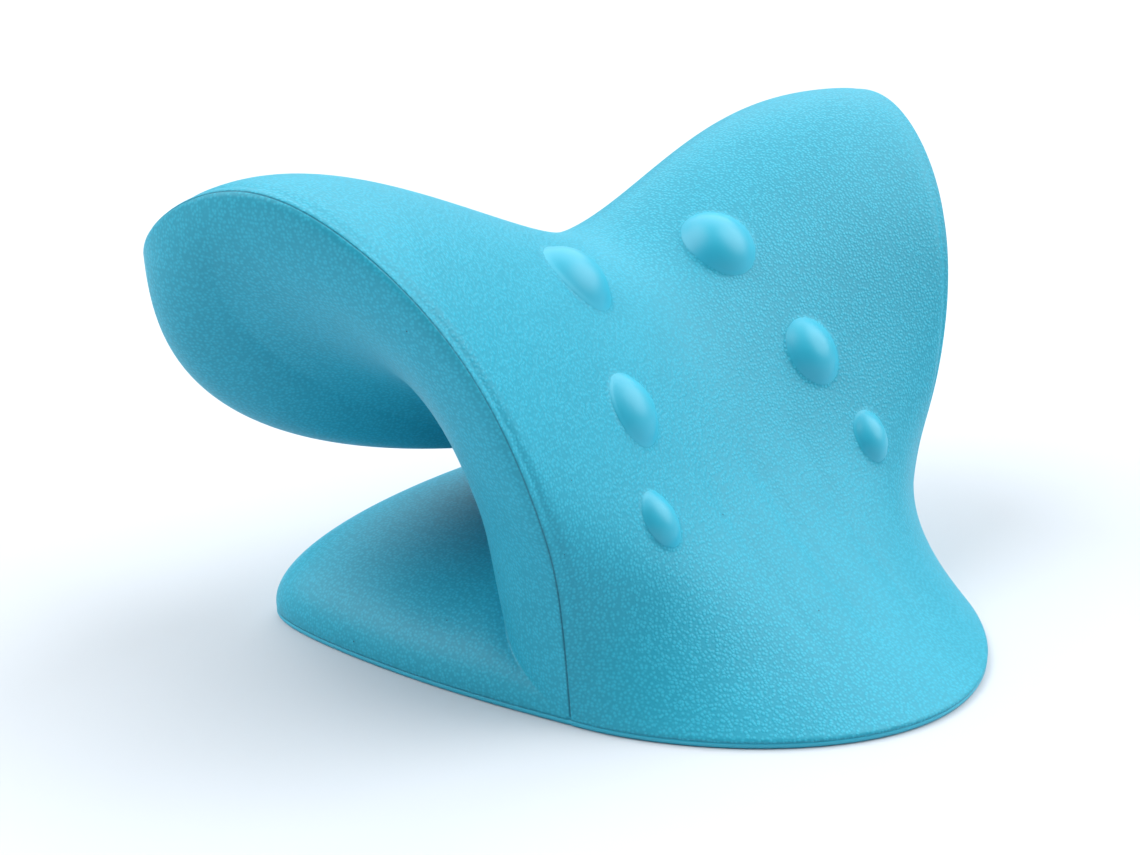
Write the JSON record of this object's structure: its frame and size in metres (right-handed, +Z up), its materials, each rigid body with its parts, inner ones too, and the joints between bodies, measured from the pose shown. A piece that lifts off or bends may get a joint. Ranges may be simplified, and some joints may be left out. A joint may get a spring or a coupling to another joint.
{
  "type": "cervical traction device",
  "caption": "Moulded foam neck and shoulder stretcher: an arched block with a neck saddle between two wings and smooth massage nodules on its front slope.",
  "frame": {"origin": "middle of the bounding box, on the floor under the foot", "axes": "+X across the shoulders, from wing to wing; +Y from the nodules' slope to the open rear of the arch; +Z up"},
  "size_m": [0.2598, 0.1796, 0.1359],
  "materials": {
    "foam": "matte open-cell polyurethane foam, never seen from outside",
    "pebbled_skin": "satin polyurethane skin with a fine pebble grain",
    "lid_skin": "satin polyurethane skin, flat and plain",
    "smooth_skin": "smooth satin polyurethane skin"
  },
  "bodies": {
    "root": {"foam_core": "foam", "front_skin": "pebbled_skin", "rear_skin": "pebbled_skin", "base_skin": "lid_skin", "nodule_upper_left": "smooth_skin", "nodule_upper_right": "smooth_skin", "nodule_middle_left": "smooth_skin", "nodule_middle_right": "smooth_skin", "nodule_lower_left": "smooth_skin", "nodule_lower_right": "smooth_skin"}
  },
  "joints": []
}
